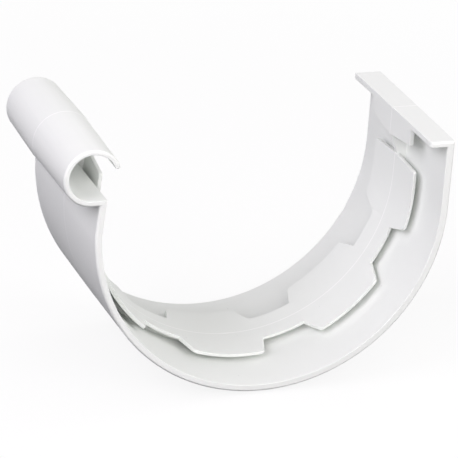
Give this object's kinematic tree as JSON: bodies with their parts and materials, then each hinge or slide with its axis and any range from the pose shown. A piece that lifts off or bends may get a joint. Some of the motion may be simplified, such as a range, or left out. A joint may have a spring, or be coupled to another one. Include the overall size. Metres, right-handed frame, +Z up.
{
  "type": "gutter union",
  "caption": "White moulded union for half-round gutters: shell with round bead socket, turned-in rear lip and a castellated inner strip that leaves a slot for the gutter ends.",
  "frame": {"origin": "centre of the half round at mid-length, where the axes of the two gutters meet", "axes": "+X across the gutter from the bead to the rear lip, +Y along the gutter, +Z up"},
  "size_m": [0.1448, 0.071, 0.0986],
  "materials": {
    "white_pvc": "satin, moulded"
  },
  "bodies": {
    "root": {"gutter_union": "white_pvc"}
  },
  "joints": []
}
